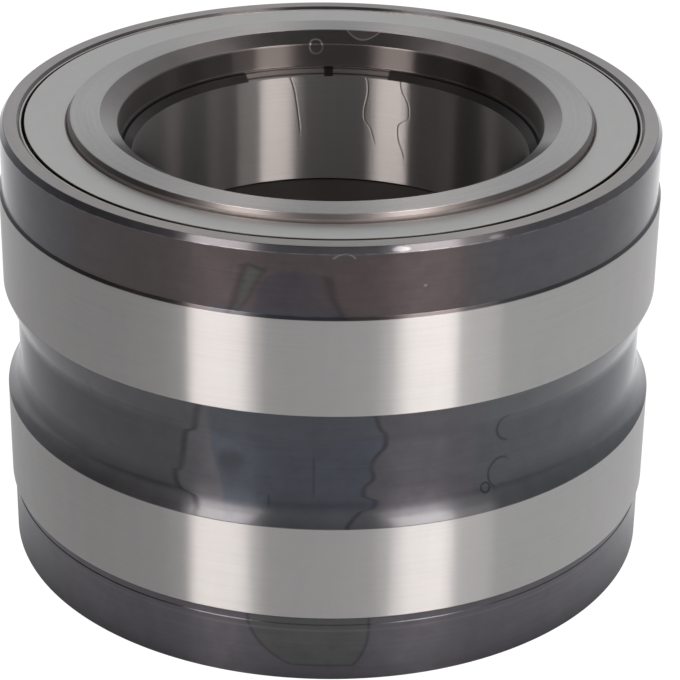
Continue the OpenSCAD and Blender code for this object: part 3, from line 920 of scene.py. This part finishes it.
oil_runs = oil_runs | inner.line(rear - run_c, 0.4) * inner.ramp(z, 64, 65) * 0.8
oil_runs = oil_runs * in_bore
bore_shade = bore_lines * 0.16 + tears * 0.12 + inner.cloud(0.3, 4.0, 9.0, 0.65) * 0.02 + 0.26
bore_colour = inner.shade(bore_shade * (1 - oil_runs * 0.9), WARM_STEEL)
bore_keen = bore_lines * 0.2 + 0.75 - oil_runs * 0.5
bore = ground_steel(inner, BORE_STEEL, bore_colour, bore_lines + oil_runs * 6.0, bore_keen)
inner.report("bore")

# %% [markdown]
# The bevelled mouth and the wall below it are the same steel under brown oil. The wall is taken as
# ground and gets two lobes, the bevel as turned and gets a coat. A parabola draws the oil patch at
# the back, a sphere's cut draws the droplet beside it, and specks of dirt lie around. The rims of
# patch and droplet are painted bright as their glints, and so are the specks on the bevel.

# %% The bevel and the counterbore's wall
WALL_STEEL, WALL_TINT, BEVEL_TINT = (0.21, 0.19, 0.183), (1.0, 0.865, 0.83), (1.0, 0.9, 0.89)
DROPLET, DROPLET_R = (-3.6, 41.9, 87.3), 1.5
on_wall = inner.ramp(r, 41.25, 41.35) * inner.fall(r, 46, 46.1)
on_wall = on_wall * inner.ramp(middle, 38.2, 38.3) * (1 - on_face)
smear = inner.cloud(0.22, 4.0, 21.0, 0.6)
parabola = (r - 42.8) - (rear + 8.2) * (rear + 8.2) * 0.11
patch = inner.ramp(parabola, -0.15, 0.15) * on_wall
patch_rim_and_glint = inner.line(parabola, 0.35) * on_wall
away = [axis - centre for axis, centre in zip((inner.x, inner.y, z), DROPLET)]
droplet = (away[0] * away[0] + away[1] * away[1] + away[2] * away[2]) ** 0.5 - DROPLET_R
drop_rim_and_glint = inner.line(droplet, 0.3)
specks = inner.ramp(inner.cloud(1.3, 2.0, 41.0), 1.05, 1.2)
specks = specks * inner.ramp(inner.cloud(0.15, 1.0, 45.0), 0.2, 0.7)
wall_marks = bore_lines + drop_rim_and_glint * 4.0 + patch_rim_and_glint * 2.0 + specks * 3.0
# The rims of the patch and droplet are painted bright as glints.
wall_shade = smear * 0.016 + 0.12 + (patch_rim_and_glint | drop_rim_and_glint) * 0.4
wall = ground_steel(inner, WALL_STEEL, inner.shade(wall_shade, WALL_TINT), wall_marks)
# On the bevel the rims and specks are painted bright as glints.
bevel_shade = smear * 0.02 + 0.12 + patch * 0.06 + (patch_rim_and_glint | drop_rim_and_glint) * 0.3 + specks * 0.3
bevel = inner.steel(
    Base_Color=inner.shade(bevel_shade, BEVEL_TINT),
    Roughness=0.3,
    Anisotropic=0.3,
    Anisotropic_Rotation=QUARTER_TURN,
    Coat_Weight=0.6,
    Coat_Roughness=0.12,
    Normal=inner.bump(wall_marks, 0.006),
)
wall = inner.over(inner.ramp(middle, 42.85, 43.05), wall, bevel)
inner.report("bevel and wall")

# %% [markdown]
# Everything else on the ring stays as turned, under old oil. On the ledge the oil pools in two arcs,
# and its reflection of the lamps there is painted in as a lighter colour. The rib's top corner, the
# rib above the flinger's sleeve and the relief below the bore's seat are painted lighter than the
# rest, as painted light, so each has its own small share.

# %% The ledge and the oiled rest
OILED_TINT = (1.0, 0.9, 0.87)
film = inner.band(rear, 2.6, 26.5, 0.6) | inner.band(rear, -17.2, -0.2, 0.6)
on_ledge = inner.ramp(middle, 36.75, 36.85) * inner.fall(middle, 38.1, 38.2)
on_ledge = on_ledge * inner.fall(r, 41.4, 41.5)
film_edge = film * inner.line(middle - 37.2, 0.25) * on_ledge
pooled_oil_and_reflection = film * on_ledge
on_corner = inner.ramp(r, 50.5, 50.6) * inner.ramp(middle, 44.05, 44.15)
in_relief = inner.ramp(r, 39.3, 39.5) * inner.fall(middle, 13.0, 13.4)
in_relief = in_relief * inner.fall(r, 42.2, 42.4)
on_rib = inner.ramp(r, 51.2, 51.25) * inner.fall(middle, 44.05, 44.15)
# Painted reflection where the oil pools; painted light on the rib, its corner and the relief.
oiled_shade_and_painted_light = smear * 0.006 + 0.03 + pooled_oil_and_reflection * 0.16 - film_edge * 0.16
oiled_shade_and_painted_light = oiled_shade_and_painted_light + on_rib * 0.3 + on_corner * 0.12 + in_relief * 0.2
oiled = inner.steel(
    Base_Color=inner.shade(oiled_shade_and_painted_light, OILED_TINT),
    Roughness=0.35,
    Anisotropic=0.5,
    Anisotropic_Rotation=QUARTER_TURN,
    Coat_Weight=pooled_oil_and_reflection * 0.7 + 0.1,
    Coat_Roughness=0.1,
    Normal=inner.bump(bore_lines + pooled_oil_and_reflection * 2.0, 0.01),
)
inner_steel = inner.over(in_bore, inner.over(on_wall, oiled, wall), bore)
inner_steel = inner.over(on_face, inner_steel, face)
wear(["turned_inner_ring_upper", "turned_inner_ring_lower"], inner.done(inner_steel))

# %% [markdown]
# The flinger is satin sheet steel. It has no grinding lines, only the faint brushing of the strip
# it was pressed from, so it spreads light evenly and reads as a flat light grey. Its outer edge by
# the gap, and less so the bend at the rib, are painted dark as painted shade, which separates it
# from its neighbours.

# %% The flingers' satin
EDGE_PAINTED_SHADE = (0.1, 0.09, 0.085)
SATIN_TINT = (1.0, 1.0, 0.985)
sheet = Finish("flinger_steel")
brushing = sheet.marks(0.08, 1.6)
# Painted shade at the outer edge by the gap and at the bend by the rib.
painted_edge_shade = sheet.ramp(sheet.r, 59.5, 59.58) | sheet.ramp(sheet.r, 51.5, 51.42) * 0.3
satin_shade = sheet.cloud(0.3, 4.0, 2.0, 0.6) * 0.012 + brushing * 0.03 + 0.5
satin = sheet.steel(
    Base_Color=sheet.mix(painted_edge_shade, sheet.shade(satin_shade, SATIN_TINT), EDGE_PAINTED_SHADE),
    Roughness=sheet.cloud(0.5, 3.0, 12.0) * 0.015 + 0.42,
    Normal=sheet.bump(brushing, 0.003),
)
wear(["pressed_flinger_upper", "pressed_flinger_lower"], sheet.done(satin))

# %% [markdown]
# The seal's case is drawn from thinner sheet. Only its rim shows, and a painted highlight makes it a
# little brighter than the rest. A warm tint sets it off from the flinger.

# %% The cases' drawn steel
DRAWN_TINT = (1.0, 0.93, 0.88)
case = Finish("seal_case_steel")
drawing = case.marks(0.1, 1.2)
painted_rim_highlight = case.ramp(case.middle, 43.9, 44.0)
# Painted highlight on the rim.
drawn_shade = drawing * 0.12 + case.cloud(0.6, 3.0) * 0.03 + painted_rim_highlight * 0.08 + 0.39
drawn = case.steel(
    Base_Color=case.shade(drawn_shade, DRAWN_TINT),
    Roughness=0.36,
    Normal=case.bump(drawing, 0.004),
)
wear(["pressed_case_upper", "pressed_case_lower"], case.done(drawn))

# %% [markdown]
# The seals' lips are black nitrile rubber, moulded on the case. New rubber is dull, but the edge that
# rides on the flinger polishes itself, and grease leaves patches with a soft sheen.

# %% Nitrile rubber
rubber = Finish("seal_rubber")
grease = rubber.ramp(rubber.cloud(0.35, 3.0, 5.0), -0.2, 0.6)
rubbed = rubber.ramp(rubber.r, 52.6, 52.0)
nitrile_shade = rubber.cloud(1.0, 3.0) * 0.004 + grease * 0.008 + rubbed * 0.015 + 0.022
nitrile = rubber.plain(
    Base_Color=rubber.shade(nitrile_shade),
    Roughness=0.62 - grease * 0.22 - rubbed * 0.15,
    Normal=rubber.bump(rubber.marks(0.2, 2.0), 0.02),
)
wear(["seal_lip_upper", "seal_lip_lower"], rubber.done(nitrile))

# %% [markdown]
# The cages are moulded in dark polyamide with glass fibre. The fibres show as a fine mottle, the
# rollers rub the bars shiny on their inner and outer faces, and the rims keep the mould's grain.

# %% Cage polyamide
POLYAMIDE_TINT = (1.0, 0.86, 0.74)
moulded = Finish("cage_polymer")
fibre_places = moulded.vector(moulded.x * 3.0, moulded.y * 3.0, moulded.z * 0.8)
fibres = moulded.noise(fibre_places, detail=4.0) - 0.5
shiny = moulded.ramp(moulded.cloud(0.5, 3.0, 13.0), 0.1, 0.8)
polyamide = moulded.plain(
    Base_Color=moulded.shade(fibres * 0.02 + shiny * 0.01 + 0.05, POLYAMIDE_TINT),
    Roughness=fibres * 0.1 - shiny * 0.15 + 0.5,
    Normal=moulded.bump(fibres, 0.015),
)
wear(["cage_upper", "cage_lower"], moulded.done(polyamide))

# %% [markdown]
# The retaining ring is rolled spring steel, tempered to a straw colour that drifts to blue-grey. Its
# corners are burnished by the two ring ends that it holds together.

# %% Spring steel
STRAW, BLUE_GREY, BURNISHED = (0.42, 0.37, 0.29), (0.3, 0.32, 0.36), (0.62, 0.61, 0.6)
spring = Finish("spring_steel")
temper = spring.ramp(spring.cloud(0.15, 3.0, 8.0), -0.6, 0.6)
corners = spring.line(spring.middle - 1.9, 0.25)
rolling = spring.marks(0.06, 3.0)
strip = spring.steel(
    Base_Color=spring.mix(corners * 0.6, spring.mix(temper, STRAW, BLUE_GREY), BURNISHED),
    Roughness=rolling * 0.1 - corners * 0.08 + 0.34,
    Normal=spring.bump(rolling, 0.006),
)
wear(["retaining_ring"], spring.done(strip))

# %% [markdown]
# Rollers are the finest surface in the unit: ground, honed and barrelled so that light slides over
# them. Running leaves a faint track, and the big ends stay matt where they slide on the rib.

# %% Roller steel
roller = Finish("roller_steel")
honing = roller.noise(roller.stretched(0.5, 0.5), scale=6.0, detail=4.0, roughness=0.7) - 0.5
track = roller.band(roller.middle, 12.0, 28.0, 4.0)
honed_shade = honing * 0.05 + roller.cloud(0.4, 3.0, 4.0) * 0.02 - track * 0.03 + 0.64
honed = roller.steel(
    Base_Color=roller.shade(honed_shade),
    Roughness=honing * 0.06 + track * 0.04 + 0.16,
    Normal=roller.bump(honing, 0.002),
)
wear([n for n in nodes if n.startswith("roller_")], roller.done(honed))

# %% [markdown]
# The stage is a sheet of matt paper. To the camera it is plain white, as in a catalogue picture. To
# the metal it is grey paper under the lamps with painted light added as a glow: brighter in front,
# with painted shade at the foot and in the bore, and those are the tones that the steel picks up.

# %% Floor
HALF_FLOOR = 3.0
FLOOR_GREY = 0.2
FLOOR_DROP = 0.1 * MM
COOL_TINT = (0.985, 0.99, 1.005)
floor_mesh = bpy.data.meshes.new("floor")
corner_signs = np.array([(-1, -1, 0), (1, -1, 0), (1, 1, 0), (-1, 1, 0)])
floor_mesh.from_pydata(corner_signs * HALF_FLOOR + (0, 0, -FLOOR_DROP), [], [(0, 1, 2, 3)])
floor = bpy.data.objects.new("floor", floor_mesh)
bpy.context.scene.collection.objects.link(floor)
paper = Finish("floor_paper")
white = paper.node("ShaderNodeEmission", Color=(1, 1, 1), Strength=1.05)
ahead, aside = paper.y / paper.r, paper.x / paper.r
# Painted light and shade in the paper's glow: brighter in front, dark at the foot and in the bore.
painted_floor_light = paper.ramp(ahead, 0.3, 1.0, 0.0, 0.35) + paper.ramp(ahead, -1.0, -0.6, 0.0, 0.1)
painted_floor_light = (painted_floor_light + aside * 0.15 + 0.62) * paper.ramp(paper.r, 57.0, 76.0, 0.02, 1.0)
lit_and_painted_paper = paper.plain(
    Base_Color=(FLOOR_GREY,) * 3,
    Roughness=1.0,
    Emission_Strength=1.0,
    Emission_Color=paper.shade(painted_floor_light, COOL_TINT),
)
to_camera = paper.node("ShaderNodeLightPath", out="Is Camera Ray")
floor_mesh.materials.append(paper.done(paper.over(to_camera, lit_and_painted_paper, white)))

# %% [markdown]
# The room is what the steel mirrors where no lamp hangs. It is brighter to the right and at the
# front and back than at the sides, and dark overhead. A photo of a room would do this too, but a
# few ramps keep it plain and let each tone be set from the strip of metal that shows it.

# %% Room
CEILING = 0.12
TINY = 0.001
world = bpy.data.worlds.new("room")
bpy.context.scene.world = world
world.use_nodes = True
room = Recipe(world.node_tree)
look = room.node("ShaderNodeTexCoord", out="Generated")
east, north, height = (room.node("ShaderNodeSeparateXYZ", out=i, Vector=look) for i in range(3))
level = (east * east + north * north) ** 0.5 + TINY
east, north = east / level, north / level
light = east * 0.14 + north * 0.11 + north * north * 0.4 + 0.22
light = light * room.ramp(height, 0.78, 0.97, 1.0, CEILING)
backdrop = room.node("ShaderNodeBackground", Color=room.shade(light, COOL_TINT), Strength=1.0)
room.node("ShaderNodeOutputWorld", Surface=backdrop)
bpy.context.scene.view_settings.view_transform = "Standard"
print("floor half width %.1f m, ceiling %.2f" % (HALF_FLOOR, CEILING))

# %% [markdown]
# With the room the scene is complete.
